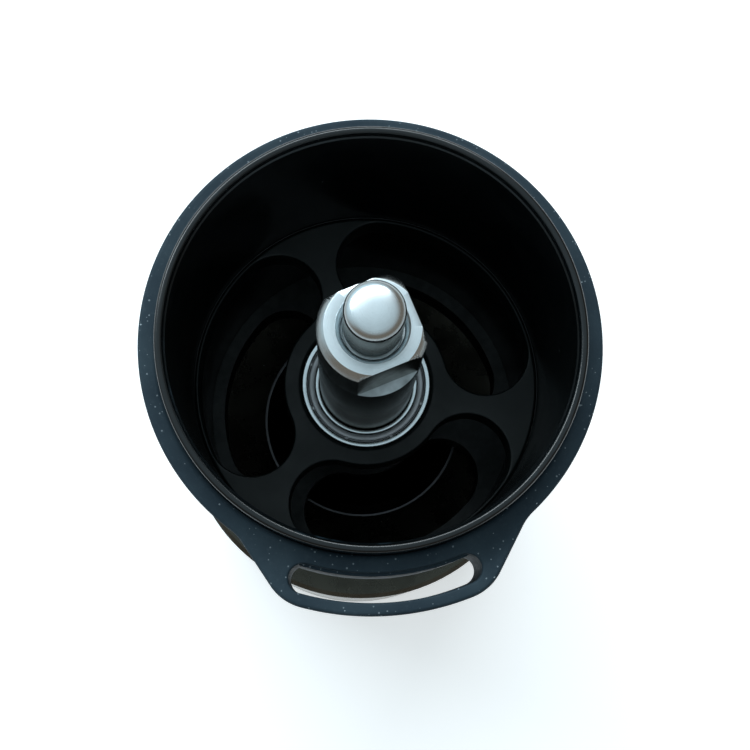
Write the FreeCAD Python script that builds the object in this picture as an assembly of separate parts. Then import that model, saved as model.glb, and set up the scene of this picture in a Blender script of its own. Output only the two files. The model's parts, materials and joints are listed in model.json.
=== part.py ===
import FreeCAD, Part

# Body of a hand coffee grinder, with its lid and crank taken off.
# Frame: origin at the centre of the base, +Z up the drive shaft, carry loop towards -Y.
# Units: millimetres and degrees.

import math
import os

# ---- Driving dimensions -----------------------------------------------------

UP = FreeCAD.Vector(0, 0, 1)
ORIGIN = FreeCAD.Vector(0, 0, 0)

FIT_GAP = 0.02            # radial gap of a pressed fit
RUN_GAP = 0.06            # radial gap of a running fit
OVERSHOOT = 1.0           # how far a cutting tool reaches past the solid that it cuts
ROUND_STEPS = 6           # chords in a turned rounding

# Body tube
RIM_Z = 150.0
TUBE_R = 29.25
BORE_R = 27.85
TUBE_FOOT_Z = 64.0
RIM_ROUND = 0.6           # rounding of the rim's outer edge
RIM_CREST = 0.25          # small break between the rim's crest and the lid seat
LID_SEAT_R = 28.1
LID_SEAT_DEPTH = 1.2
SPIDER_GROOVE_R = 28.2
SPIDER_GROOVE_HEIGHT = 0.5

# Grip band with its carry loop
BAND_R = 32.1
BAND_FOOT_Z = 129.0
BAND_TOP_Z = 145.0
BAND_EDGE = 0.6
LOOP_ANGLE = -90.0
LOOP_R = 37.4
LOOP_FOOT_Z = 133.0
LOOP_ROOT = (24.1, 20.4)  # where the loop's straight flank leaves the band: outwards, sideways
LOOP_CORNER = (34.6, 14.2)
LOOP_CORNER_R = 7.0
LOOP_ROOT_R = 7.0
SLOT_INNER_R = 31.65
SLOT_OUTER_R = 35.6
SLOT_HALF_ANGLE = 22.5

# Drive sleeve: the steel head that the crank pushes onto
SLEEVE_R = 7.5
SLEEVE_FOOT_Z = 99.0
HEAD_TOP_Z = 154.5
HEAD_CHAMFER_WIDTH = 1.0
HEAD_CHAMFER_HEIGHT = 1.05
FLAT_DISTANCE = 6.0
FLAT_FOOT_Z = 143.0
FLAT_ANGLES = (109.0, 19.0, -71.0)
COUNTERSINK_R = 5.0
COUNTERBORE_R = 4.3
COUNTERBORE_DEPTH = 3.0
CIRCLIP_GROOVE_R = 6.9
CIRCLIP_GROOVE_HEIGHT = 1.0
CIRCLIP_R = 8.4
CIRCLIP_HEIGHT = 0.9
CIRCLIP_OPENING = 3.0

# Spindle: the rod through the sleeve, with a domed centring tip
SPINDLE_R = 4.0
SPINDLE_FOOT_Z = 34.0
TIP_FOOT_Z = 154.6
TIP_GROOVE_R = 3.6        # run-out groove below the tip's seat, down to the sleeve's counterbore
DOME_BASE_Z = 162.75
DOME_TOP_Z = 165.5
CROWN_R = 1.6             # radius of the dome's flat crown
KEY_FLAT = 3.3            # half the width across the two flats that drive the burr
KEY_TOP_Z = 68.6
KEY_FOOT_Z = 46.4
THREAD_PITCH = 0.75
THREAD_DEPTH = 0.35
THREAD_FOOT_Z = 35.2
DRIVE_PIN_R = 1.25
DRIVE_PIN_Z = 124.0
DRIVE_PIN_INSET = 0.3

# Spiders: the three-armed webs that hold the two bearings
SPIDER_TOP_Z = 109.4
SPIDER_HEIGHT = 6.0
OPENING_ANGLE = 46.0
ARMS = 3
LIP = 1.0                 # radial width of the shoulder under a bearing
POCKET_CHAMFER = 0.65
UPPER_OPENING_R = (13.4, 27.2)
UPPER_OPENING_HALF_ANGLE = 34.75
LOWER_OPENING_R = (11.6, 25.6)
LOWER_OPENING_HALF_ANGLE = 31.0
LOWER_SPIDER_TOP_Z = 77.0
LOWER_SPIDER_HEIGHT = 7.0

# Ball bearings: bore, outside and ball radius, width, number of balls, thickness of the race rings
UPPER_BEARING = {"bore": 7.5, "outside": 10.5, "width": 4.0, "ball": 1.0, "count": 16, "race": 0.75}
LOWER_BEARING = {"bore": 4.0, "outside": 8.0, "width": 5.0, "ball": 1.2, "count": 9, "race": 1.0}
GROOVE_EXTRA = 0.06       # how much a raceway's radius exceeds the ball's
SHIELD_THICKNESS = 0.3
SHIELD_INSET = 0.25
SHIELD_CLEARANCE = 0.15
SHIELD_NOTCHES = 8
SHIELD_NOTCH_WIDTH = 0.45
SHIELD_NOTCH_DEPTH = 0.4
RING_EDGE = 0.2
RACE_DIFFERENCE = 0.1     # how much thinner the inner race ring stands than the outer
CAGE_HEIGHT_RATIO = 1.35  # half the cage's height over the ball's radius
CAGE_WIDTH_RATIO = 0.35   # half the cage's thickness over the ball's radius

# Burr carrier: the collar at the foot of the tube
COLLAR_R = 34.0
COLLAR_FOOT_Z = 58.0
CARRIER_TOP_Z = 70.0
SPIGOT_R = 28.2
SPIGOT_FOOT_Z = 50.0
FUNNEL_R = 25.6
CARRIER_THROAT_R = 18.6
CARRIER_LIP_HEIGHT = 0.8
COLLAR_EDGE = 0.8

# Burrs
RING_BURR_R = 23.5
RING_BURR_TOP_Z = 66.5
RING_BURR_MOUTH_R = 18.2
RING_BURR_THROAT_R = 16.2
RING_BURR_FOOT_R = 19.0
RING_BURR_THROAT_HEIGHT = 2.0
RING_BURR_FOOT_HEIGHT = 2.2
RING_FLUTES = 24
CONE_BURR_TOP_Z = 68.0
CONE_BURR_FOOT_Z = 50.2
CONE_TOP_R = 7.6
CONE_TOP_BREAK = 1.0
CONE_NECK_R = 11.6
CONE_NECK_Z = 60.5
CONE_FOOT_R = 19.0
CONE_FOOT_HEIGHT = 2.0
CONE_FLUTES = 6
CONE_TEETH = 30
BURR_GAP = 0.35

# Tooth gaps: a square bar set on its corner, its centre, and its lean and tilt from upright
CONE_FLUTE = {"radius": 12.0, "middle": 61.5, "width": 4.2, "length": 26.0, "lean": 28.0, "tilt": 24.0}
CONE_TOOTH = {"radius": 15.3, "middle": 56.2, "width": 0.9, "length": 17.0, "lean": 41.0, "tilt": 20.0}
RING_TOOTH = {"radius": 17.6, "middle": 58.0, "width": 1.1, "length": 17.0, "lean": 14.0, "tilt": -16.0}

# Clamp ring and its screws
CLAMP_TOP_Z = 50.0
CLAMP_HEIGHT = 1.6
CLAMP_INNER_R = 20.6
SCREW_RING_R = 25.9
SCREW_R = 1.25
SCREW_HEAD_R = 2.3
SCREW_HEAD_HEIGHT = 1.0
SCREW_LENGTH = 8.0
SCREW_SOCKET = 1.5
SCREW_SOCKET_DEPTH = 0.7
SCREWS = 3

# Adjusting dial under the cone burr
DIAL_TOP_Z = 48.4
DIAL_HEIGHT = 9.0
DIAL_R = 14.0
DIAL_KNURLS = 36
DIAL_KNURL_R = 0.55
DIAL_KNURL_RING_R = 14.2
DIAL_EDGE = 0.8
CLICK_PLATE_HEIGHT = 1.6
CLICK_PLATE_R = 12.0
CLICK_TRACK_R = 9.0
CLICK_DIMPLES = 30
CLICK_DIMPLE_R = 0.75
DETENTS = 2
DETENT_BALL_R = 0.9
DETENT_LIFT = 0.1         # how far a detent ball stands out of the dial
DETENT_POCKET_DEPTH = 5.6
DETENT_SPRING_R = (0.5, 0.8)

# Burr spring
SPRING_R = 5.3
SPRING_WIRE_R = 0.5
SPRING_TURNS = 2
SPRING_CLEARANCE = 0.1

# Catch cup
CUP_R = 34.0
CUP_TOP_Z = 57.97
CUP_FOOT_Z = 0.8
CUP_FLOOR_Z = 4.5
CUP_WALL = 1.9
CUP_MOUTH_R = 28.5
CUP_RIM_FOOT_Z = 49.0
CUP_EDGE = 0.8
CUP_FLOOR_CORNER = 2.0
PAD_R = 29.0
PAD_TOP_Z = 2.2
MAGNETS = 8
MAGNET_R = 1.5
MAGNET_HEIGHT = 3.0
MAGNET_RING_R = 30.9
MAGNET_RECESS = 0.15


# ---- Shape helpers ----------------------------------------------------------

def disc(radius, low, high):
    """Solid cylinder on the shaft axis between two heights."""
    return Part.makeCylinder(radius, high - low, FreeCAD.Vector(0, 0, low), UP)


def ring(inner, outer, low, high):
    """Hollow cylinder on the shaft axis between two heights."""
    return disc(outer, low, high).cut(disc(inner, low - OVERSHOOT, high + OVERSHOOT))


def turned(profile):
    """Solid of revolution about the shaft axis from (radius, height) points."""
    points = [FreeCAD.Vector(radius, 0, height) for radius, height in profile]
    face = Part.Face(Part.makePolygon(points + points[:1]))
    return face.revolve(ORIGIN, UP, 360)


def spun(shape, angle):
    """Copy of a shape turned about the shaft axis."""
    copy = shape.copy()
    copy.rotate(ORIGIN, UP, angle)
    return copy


def around(shape, count, start=0.0):
    """Copies of a shape spaced evenly about the shaft axis."""
    return [spun(shape, start + index * 360.0 / count) for index in range(count)]


def peg(radius, x, low, high):
    """Upright cylinder at a distance x from the shaft axis, along +X."""
    return Part.makeCylinder(radius, high - low, FreeCAD.Vector(x, 0, low), UP)


def arc_slot(inner, outer, half_angle, low, high):
    """Kidney-shaped solid along an arc about +X, with round ends."""
    middle = (inner + outer) / 2
    width = (outer - inner) / 2
    wedge = Part.makeCylinder(outer, high - low, FreeCAD.Vector(0, 0, low), UP, 2 * half_angle)
    body = spun(wedge, -half_angle).cut(disc(inner, low - OVERSHOOT, high + OVERSHOOT))
    for side in (-half_angle, half_angle):
        body = body.fuse(spun(peg(width, middle, low, high), side))
    return body.removeSplitter()


def edges_at(shape, height):
    """Edges of a shape that lie wholly at one height."""
    found = []
    for edge in shape.Edges:
        box = edge.BoundBox
        if abs(box.ZMin - height) < 1e-6 and abs(box.ZMax - height) < 1e-6:
            found.append(edge)
    return found


def save(node, *solids):
    """Write one node, a single solid or a group of separate ones."""
    shape = solids[0] if len(solids) == 1 else Part.makeCompound(list(solids))
    shape.exportStep("parts/" + node + ".step")


# ---- Tube and band ----------------------------------------------------------

def body_tube():
    """Tube whose rim is rounded outside, with a step inside that seats the lid."""
    seat_foot = RIM_Z - LID_SEAT_DEPTH
    groove_top = SPIDER_TOP_Z + SPIDER_GROOVE_HEIGHT
    rounding = []
    for index in range(ROUND_STEPS + 1):
        angle = math.pi / 2 * index / ROUND_STEPS
        radius = TUBE_R - RIM_ROUND + RIM_ROUND * math.cos(angle)
        rounding.append((radius, RIM_Z - RIM_ROUND + RIM_ROUND * math.sin(angle)))
    return turned([
        (BORE_R, TUBE_FOOT_Z),
        (TUBE_R, TUBE_FOOT_Z),
    ] + rounding + [
        (LID_SEAT_R + RIM_CREST, RIM_Z),
        (LID_SEAT_R, RIM_Z - RIM_CREST),
        (LID_SEAT_R, seat_foot),
        (BORE_R, seat_foot - RIM_CREST),
        (BORE_R, groove_top),
        (SPIDER_GROOVE_R, groove_top),
        (SPIDER_GROOVE_R, SPIDER_TOP_Z),
        (BORE_R, SPIDER_TOP_Z),
    ])


def handle_band():
    """Rubber band stretched round the tube, with a loop that stores the crank."""
    lower = disc(BAND_R, BAND_FOOT_Z, LOOP_FOOT_Z)
    lower = lower.makeFillet(BAND_EDGE, edges_at(lower, BAND_FOOT_Z))
    upper = band_outline(LOOP_FOOT_Z).extrude(UP * (BAND_TOP_Z - LOOP_FOOT_Z))
    upper = upper.makeFillet(BAND_EDGE, edges_at(upper, BAND_TOP_Z))
    low = BAND_FOOT_Z - OVERSHOOT
    high = BAND_TOP_Z + OVERSHOOT
    end_angle = math.degrees((SLOT_OUTER_R - SLOT_INNER_R) / (SLOT_OUTER_R + SLOT_INNER_R))
    slot = arc_slot(SLOT_INNER_R, SLOT_OUTER_R, SLOT_HALF_ANGLE - end_angle, low, high)
    band = lower.fuse(upper).removeSplitter().cut(slot).cut(disc(TUBE_R + FIT_GAP, low, high))
    return spun(band, LOOP_ANGLE)


def band_outline(height):
    """Face of the band with its ear towards +X: hollow roots, straight flanks, round corners."""
    root = FreeCAD.Vector(*LOOP_ROOT, 0)
    along = (FreeCAD.Vector(*LOOP_CORNER, 0) - root).normalize()
    across = FreeCAD.Vector(-along.y, along.x, 0)
    offset = across.dot(root)
    root_centre = flank_arc_centre(along, across, offset + LOOP_ROOT_R, BAND_R + LOOP_ROOT_R)
    nose_centre = flank_arc_centre(along, across, offset - LOOP_CORNER_R, LOOP_R - LOOP_CORNER_R)
    tangents = [
        root_centre * (BAND_R / root_centre.Length),
        root_centre - across * LOOP_ROOT_R,
        nose_centre + across * LOOP_CORNER_R,
        nose_centre * (LOOP_R / nose_centre.Length),
    ]
    edges = []
    for side in (1, -1):
        band_end, flank_start, flank_end, nose_end = [mirrored(point, side) for point in tangents]
        edges.append(short_arc(band_end, flank_start, mirrored(root_centre, side)))
        edges.append(Part.makeLine(flank_start, flank_end))
        edges.append(short_arc(flank_end, nose_end, mirrored(nose_centre, side)))
    nose = tangents[3]
    edges.append(Part.Arc(nose, FreeCAD.Vector(LOOP_R, 0, 0), mirrored(nose, -1)).toShape())
    back = tangents[0]
    edges.append(Part.Arc(back, FreeCAD.Vector(-BAND_R, 0, 0), mirrored(back, -1)).toShape())
    face = Part.Face(Part.Wire(Part.__sortEdges__(edges)))
    face.translate(UP * height)
    return face


def flank_arc_centre(along, across, offset, distance):
    """Centre at a given offset from the shaft across the flank, and a given distance from the shaft."""
    return across * offset + along * math.sqrt(distance ** 2 - offset ** 2)


def mirrored(point, side):
    """The point itself for side 1, or its mirror image across the X axis for side -1."""
    return FreeCAD.Vector(point.x, point.y * side, point.z)


def short_arc(first, last, centre):
    """The shorter arc between two points that lie at one distance from a centre."""
    middle = (first + last) * 0.5 - centre
    middle = centre + middle * ((first - centre).Length / middle.Length)
    return Part.Arc(first, middle, last).toShape()


# ---- Spiders and bearings ---------------------------------------------------

def spider(top, height, bearing, openings, half_angle):
    """Three-armed web with a bearing pocket in its hub and bean openings between its arms."""
    foot = top - height
    pocket_r = bearing["outside"] + FIT_GAP
    web = turned([
        (bearing["outside"] - LIP, foot),
        (BORE_R - FIT_GAP, foot),
        (BORE_R - FIT_GAP, top),
        (pocket_r + POCKET_CHAMFER, top),
        (pocket_r, top - POCKET_CHAMFER),
        (pocket_r, top - bearing["width"]),
        (bearing["outside"] - LIP, top - bearing["width"]),
    ])
    opening = arc_slot(openings[0], openings[1], half_angle, foot - OVERSHOOT, top + OVERSHOOT)
    for cutter in around(opening, ARMS, OPENING_ANGLE):
        web = web.cut(cutter)
    return web


def bearing_middle(bearing):
    """Radius of the circle through the centres of the balls."""
    return (bearing["bore"] + bearing["outside"]) / 2


def raceway(bearing, middle_z):
    """Torus that cuts the ball grooves."""
    return Part.makeTorus(
        bearing_middle(bearing), bearing["ball"] + GROOVE_EXTRA, FreeCAD.Vector(0, 0, middle_z), UP)


def bearing_rings(bearing, top):
    """Outer and inner race rings, each with its ball groove."""
    foot = top - bearing["width"]
    groove = raceway(bearing, top - bearing["width"] / 2)
    outer = ring(bearing["outside"] - bearing["race"] - RACE_DIFFERENCE, bearing["outside"], foot, top)
    inner = ring(bearing["bore"] + FIT_GAP, bearing["bore"] + bearing["race"], foot, top)
    rings = []
    for shape in (outer, inner):
        edges = edges_at(shape, top) + edges_at(shape, foot)
        rings.append(shape.makeChamfer(RING_EDGE, edges).cut(groove))
    return rings


def bearing_shields(bearing, top):
    """The two thin metal shields, crimped into the outer ring with small notches."""
    inner_r = bearing["bore"] + bearing["race"] + SHIELD_CLEARANCE
    outer_r = bearing["outside"] - bearing["race"] - RACE_DIFFERENCE - FIT_GAP
    foot = top - bearing["width"]
    shields = []
    for low in (top - SHIELD_INSET - SHIELD_THICKNESS, foot + SHIELD_INSET):
        shield = ring(inner_r, outer_r, low, low + SHIELD_THICKNESS)
        notch = Part.makeBox(
            2 * SHIELD_NOTCH_DEPTH, SHIELD_NOTCH_WIDTH, 2 * SHIELD_THICKNESS,
            FreeCAD.Vector(outer_r - SHIELD_NOTCH_DEPTH, -SHIELD_NOTCH_WIDTH / 2, low - SHIELD_THICKNESS / 2))
        for cutter in around(notch, SHIELD_NOTCHES):
            shield = shield.cut(cutter)
        shields.append(shield)
    return shields


def bearing_balls(bearing, top):
    """The ring of steel balls."""
    centre = FreeCAD.Vector(bearing_middle(bearing), 0, top - bearing["width"] / 2)
    return around(Part.makeSphere(bearing["ball"], centre), bearing["count"])


def bearing_cage(bearing, top):
    """Ribbon with a pocket for every ball."""
    middle_z = top - bearing["width"] / 2
    half_height = CAGE_HEIGHT_RATIO * bearing["ball"]
    half_width = CAGE_WIDTH_RATIO * bearing["ball"]
    middle_r = bearing_middle(bearing)
    cage = ring(middle_r - half_width, middle_r + half_width, middle_z - half_height, middle_z + half_height)
    start = FreeCAD.Vector(middle_r - 2 * half_width, 0, middle_z)
    pocket = Part.makeCylinder(
        bearing["ball"] + GROOVE_EXTRA, 4 * half_width, start, FreeCAD.Vector(1, 0, 0))
    for cutter in around(pocket, bearing["count"]):
        cage = cage.cut(cutter)
    return cage


# ---- Shaft ------------------------------------------------------------------

def drive_sleeve():
    """Turned sleeve with three milled flats at its head and a countersunk hole."""
    sleeve = turned([
        (SPINDLE_R + FIT_GAP, SLEEVE_FOOT_Z),
        (SLEEVE_R, SLEEVE_FOOT_Z),
        (SLEEVE_R, HEAD_TOP_Z - HEAD_CHAMFER_HEIGHT),
        (SLEEVE_R - HEAD_CHAMFER_WIDTH, HEAD_TOP_Z),
        (COUNTERSINK_R, HEAD_TOP_Z),
        (COUNTERBORE_R, HEAD_TOP_Z - (COUNTERSINK_R - COUNTERBORE_R)),
        (COUNTERBORE_R, HEAD_TOP_Z - COUNTERBORE_DEPTH),
        (SPINDLE_R + FIT_GAP, HEAD_TOP_Z - COUNTERBORE_DEPTH),
    ])
    height = HEAD_TOP_Z - FLAT_FOOT_Z + OVERSHOOT
    waste = Part.makeBox(
        SLEEVE_R, 2 * SLEEVE_R, height, FreeCAD.Vector(FLAT_DISTANCE, -SLEEVE_R, FLAT_FOOT_Z))
    for angle in FLAT_ANGLES:
        sleeve = sleeve.cut(spun(waste, angle))
    clip_top = SPIDER_TOP_Z - UPPER_BEARING["width"]
    groove = ring(CIRCLIP_GROOVE_R, SLEEVE_R + OVERSHOOT, clip_top - CIRCLIP_GROOVE_HEIGHT, clip_top)
    return sleeve.cut(groove).cut(drive_pin_hole())


def drive_pin_hole():
    """Cross hole through sleeve and spindle."""
    start = FreeCAD.Vector(-SLEEVE_R - OVERSHOOT, 0, DRIVE_PIN_Z)
    length = 2 * (SLEEVE_R + OVERSHOOT)
    return Part.makeCylinder(DRIVE_PIN_R + FIT_GAP, length, start, FreeCAD.Vector(1, 0, 0))


def drive_pin():
    """Cross pin that locks the sleeve to the spindle, a little below the sleeve's surface."""
    length = 2 * (SLEEVE_R - DRIVE_PIN_INSET)
    start = FreeCAD.Vector(-length / 2, 0, DRIVE_PIN_Z)
    return Part.makeCylinder(DRIVE_PIN_R, length, start, FreeCAD.Vector(1, 0, 0))


def shaft_circlip():
    """Spring clip under the upper bearing's inner ring, open on one side."""
    top = SPIDER_TOP_Z - UPPER_BEARING["width"] - FIT_GAP
    clip = ring(CIRCLIP_GROOVE_R + FIT_GAP, CIRCLIP_R, top - CIRCLIP_HEIGHT, top)
    corner = FreeCAD.Vector(0, -CIRCLIP_OPENING / 2, top - 1.5 * CIRCLIP_HEIGHT)
    return clip.cut(Part.makeBox(2 * SLEEVE_R, CIRCLIP_OPENING, 2 * CIRCLIP_HEIGHT, corner))


def spindle():
    """Rod with a domed tip above a run-out groove, two driving flats and a threaded foot."""
    groove_foot = HEAD_TOP_Z - COUNTERBORE_DEPTH
    tip = [
        (SPINDLE_R, groove_foot),
        (TIP_GROOVE_R, groove_foot),
        (TIP_GROOVE_R, TIP_FOOT_Z),
        (SPINDLE_R, TIP_FOOT_Z),
        (SPINDLE_R, DOME_BASE_Z),
    ]
    for index in range(1, ROUND_STEPS + 1):
        angle = math.pi / 2 * index / ROUND_STEPS
        radius = CROWN_R + (SPINDLE_R - CROWN_R) * math.cos(angle)
        tip.append((radius, DOME_BASE_Z + (DOME_TOP_Z - DOME_BASE_Z) * math.sin(angle)))
    profile = [(0.0, SPINDLE_FOOT_Z), (SPINDLE_R - THREAD_DEPTH, SPINDLE_FOOT_Z)]
    grooves = int((KEY_FOOT_Z - THREAD_FOOT_Z) / THREAD_PITCH)
    for index in range(grooves):
        root_z = THREAD_FOOT_Z + index * THREAD_PITCH
        profile.append((SPINDLE_R - THREAD_DEPTH, root_z))
        profile.append((SPINDLE_R, root_z + THREAD_PITCH / 2))
    rod = turned(profile + tip + [(0.0, DOME_TOP_Z)])
    height = KEY_TOP_Z - KEY_FOOT_Z
    for side in (KEY_FLAT, -KEY_FLAT - SPINDLE_R):
        corner = FreeCAD.Vector(side, -SPINDLE_R, KEY_FOOT_Z)
        rod = rod.cut(Part.makeBox(SPINDLE_R, 2 * SPINDLE_R, height, corner))
    return rod.cut(drive_pin_hole())


# ---- Burrs ------------------------------------------------------------------

def keyed_bore(low, high):
    """Sliding bore with two flats that fits the spindle's driving flats."""
    hole = disc(SPINDLE_R + RUN_GAP, low, high)
    half = KEY_FLAT + RUN_GAP
    keep = Part.makeBox(2 * half, 4 * SPINDLE_R, high - low, FreeCAD.Vector(-half, -2 * SPINDLE_R, low))
    return hole.common(keep)


def slanted_groove(gap):
    """Long bar that cuts one tooth gap in a conical face at +X."""
    width = gap["width"]
    corner = FreeCAD.Vector(-width / 2, -width / 2, -gap["length"] / 2)
    bar = Part.makeBox(width, width, gap["length"], corner)
    bar.rotate(ORIGIN, UP, 45)
    bar.rotate(ORIGIN, FreeCAD.Vector(0, 1, 0), gap["lean"])
    bar.rotate(ORIGIN, FreeCAD.Vector(1, 0, 0), gap["tilt"])
    bar.translate(FreeCAD.Vector(gap["radius"], 0, gap["middle"]))
    return bar


def cone_burr():
    """Conical steel burr: large feeding flutes above, fine teeth below."""
    cone = turned([
        (0.0, CONE_BURR_FOOT_Z),
        (CONE_FOOT_R - BURR_GAP, CONE_BURR_FOOT_Z),
        (CONE_FOOT_R - BURR_GAP, CONE_BURR_FOOT_Z + CONE_FOOT_HEIGHT),
        (CONE_NECK_R, CONE_NECK_Z),
        (CONE_TOP_R, CONE_BURR_TOP_Z - CONE_TOP_BREAK),
        (CONE_TOP_R - CONE_TOP_BREAK, CONE_BURR_TOP_Z),
        (0.0, CONE_BURR_TOP_Z),
    ])
    gaps = around(slanted_groove(CONE_FLUTE), CONE_FLUTES) + around(slanted_groove(CONE_TOOTH), CONE_TEETH)
    for cutter in gaps:
        cone = cone.cut(cutter)
    cone = cone.cut(keyed_bore(CONE_BURR_FOOT_Z - OVERSHOOT, CONE_BURR_TOP_Z + OVERSHOOT))
    return largest_solid(cone)


def ring_burr():
    """Steel ring with a toothed conical throat, held in the carrier."""
    foot = CLAMP_TOP_Z + FIT_GAP
    top = RING_BURR_TOP_Z - FIT_GAP
    outer_r = RING_BURR_R - FIT_GAP
    burr = turned([
        (RING_BURR_FOOT_R, foot),
        (outer_r, foot),
        (outer_r, top),
        (RING_BURR_MOUTH_R, top),
        (RING_BURR_THROAT_R, CONE_NECK_Z + RING_BURR_THROAT_HEIGHT),
        (RING_BURR_THROAT_R, CONE_NECK_Z),
        (RING_BURR_FOOT_R, foot + RING_BURR_FOOT_HEIGHT),
    ])
    for cutter in around(slanted_groove(RING_TOOTH), RING_FLUTES):
        burr = burr.cut(cutter)
    return largest_solid(burr)


def largest_solid(shape):
    """The main solid of a cut shape, without loose slivers."""
    return max(shape.Solids, key=lambda solid: solid.Volume)


def burr_carrier():
    """Collar at the foot of the tube: seats the ring burr and guides beans down to it."""
    carrier = turned([
        (RING_BURR_R, SPIGOT_FOOT_Z),
        (SPIGOT_R, SPIGOT_FOOT_Z),
        (SPIGOT_R, COLLAR_FOOT_Z),
        (COLLAR_R - COLLAR_EDGE / 2, COLLAR_FOOT_Z),
        (COLLAR_R, COLLAR_FOOT_Z + COLLAR_EDGE / 2),
        (COLLAR_R, TUBE_FOOT_Z - COLLAR_EDGE),
        (COLLAR_R - COLLAR_EDGE, TUBE_FOOT_Z - FIT_GAP),
        (BORE_R - FIT_GAP, TUBE_FOOT_Z - FIT_GAP),
        (BORE_R - FIT_GAP, CARRIER_TOP_Z - FIT_GAP),
        (FUNNEL_R, CARRIER_TOP_Z - FIT_GAP),
        (CARRIER_THROAT_R, RING_BURR_TOP_Z + CARRIER_LIP_HEIGHT),
        (CARRIER_THROAT_R, RING_BURR_TOP_Z),
        (RING_BURR_R, RING_BURR_TOP_Z),
    ])
    pocket = peg(MAGNET_R + FIT_GAP, MAGNET_RING_R, COLLAR_FOOT_Z - OVERSHOOT, magnet_top() + FIT_GAP)
    for cutter in around(pocket, MAGNETS):
        carrier = carrier.cut(cutter)
    shank = peg(SCREW_R + FIT_GAP, SCREW_RING_R, SPIGOT_FOOT_Z - OVERSHOOT, screw_top() + FIT_GAP)
    for cutter in around(shank, SCREWS, OPENING_ANGLE):
        carrier = carrier.cut(cutter)
    return carrier


def magnet_top():
    """Upper end of the collar's magnets."""
    return COLLAR_FOOT_Z + MAGNET_RECESS + MAGNET_HEIGHT


def screw_top():
    """Upper end of the clamp screws."""
    return CLAMP_TOP_Z - CLAMP_HEIGHT + SCREW_LENGTH


def countersunk_screw(extra, socket):
    """Flat-headed screw from below, or with extra radius the hole that it needs."""
    foot = CLAMP_TOP_Z - CLAMP_HEIGHT
    head = Part.makeCone(
        SCREW_HEAD_R + extra, SCREW_R + extra, SCREW_HEAD_HEIGHT, FreeCAD.Vector(SCREW_RING_R, 0, foot), UP)
    screw = head.fuse(peg(SCREW_R + extra, SCREW_RING_R, foot, screw_top()))
    if socket:
        half = SCREW_SOCKET / 2
        corner = FreeCAD.Vector(SCREW_RING_R - half, -half, foot - OVERSHOOT)
        depth = OVERSHOOT + SCREW_SOCKET_DEPTH
        screw = screw.cut(Part.makeBox(SCREW_SOCKET, SCREW_SOCKET, depth, corner))
    return screw


def burr_clamp_ring():
    """Flat ring that holds the ring burr up in its carrier."""
    clamp = ring(CLAMP_INNER_R, SPIGOT_R, CLAMP_TOP_Z - CLAMP_HEIGHT, CLAMP_TOP_Z - FIT_GAP)
    hole = countersunk_screw(FIT_GAP, False)
    for cutter in around(hole, SCREWS, OPENING_ANGLE):
        clamp = clamp.cut(cutter)
    return clamp


def burr_spring():
    """Compression spring between the lower bearing and the cone burr, as closed coils."""
    top = LOWER_SPIDER_TOP_Z - LOWER_BEARING["width"] - SPRING_CLEARANCE
    foot = CONE_BURR_TOP_Z + SPRING_CLEARANCE
    pitch = (top - foot - 2 * SPRING_WIRE_R) / SPRING_TURNS
    helix = Part.makeHelix(pitch, pitch * SPRING_TURNS, SPRING_R - SPRING_WIRE_R)
    start = FreeCAD.Vector(SPRING_R - SPRING_WIRE_R, 0, 0)
    section = Part.Wire(Part.makeCircle(SPRING_WIRE_R, start, FreeCAD.Vector(0, 1, 0)))
    coil = Part.Wire(helix).makePipeShell([section], True, True)
    coil.translate(FreeCAD.Vector(0, 0, foot + SPRING_WIRE_R))
    return coil


# ---- Adjusting dial ---------------------------------------------------------

def click_plate():
    """Keyed plate under the cone burr, with a ring of dimples for the dial's detents."""
    top = CONE_BURR_FOOT_Z - FIT_GAP
    foot = top - CLICK_PLATE_HEIGHT
    plate = disc(CLICK_PLATE_R, foot, top)
    dimple = Part.makeSphere(CLICK_DIMPLE_R, FreeCAD.Vector(CLICK_TRACK_R, 0, foot - CLICK_DIMPLE_R / 3))
    for cutter in around(dimple, CLICK_DIMPLES):
        plate = plate.cut(cutter)
    return plate.cut(keyed_bore(foot - OVERSHOOT, top + OVERSHOOT))


def adjust_dial():
    """Knurled nut that sets how close the burrs run."""
    foot = DIAL_TOP_Z - DIAL_HEIGHT
    dial = disc(DIAL_R, foot, DIAL_TOP_Z)
    dial = dial.makeChamfer(DIAL_EDGE, edges_at(dial, foot) + edges_at(dial, DIAL_TOP_Z))
    dial = dial.cut(disc(SPINDLE_R + RUN_GAP, foot - OVERSHOOT, DIAL_TOP_Z + OVERSHOOT))
    groove = peg(DIAL_KNURL_R, DIAL_KNURL_RING_R, foot - OVERSHOOT, DIAL_TOP_Z + OVERSHOOT)
    for cutter in around(groove, DIAL_KNURLS):
        dial = dial.cut(cutter)
    pocket_foot = DIAL_TOP_Z - DETENT_POCKET_DEPTH
    pocket = peg(DETENT_BALL_R + RUN_GAP, CLICK_TRACK_R, pocket_foot, DIAL_TOP_Z + OVERSHOOT)
    for cutter in around(pocket, DETENTS):
        dial = dial.cut(cutter)
    return dial


def detent_balls():
    """Two balls that click into the plate's dimples."""
    centre = FreeCAD.Vector(CLICK_TRACK_R, 0, DIAL_TOP_Z - DETENT_BALL_R + DETENT_LIFT)
    return around(Part.makeSphere(DETENT_BALL_R, centre), DETENTS)


def detent_springs():
    """Two small springs under the detent balls, as plain sleeves of the coils' size."""
    top = DIAL_TOP_Z - 2 * DETENT_BALL_R
    foot = DIAL_TOP_Z - DETENT_POCKET_DEPTH + FIT_GAP
    inner, outer = DETENT_SPRING_R
    bore = peg(inner, CLICK_TRACK_R, foot - OVERSHOOT, top + OVERSHOOT)
    return around(peg(outer, CLICK_TRACK_R, foot, top).cut(bore), DETENTS)


# ---- Catch cup --------------------------------------------------------------

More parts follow.
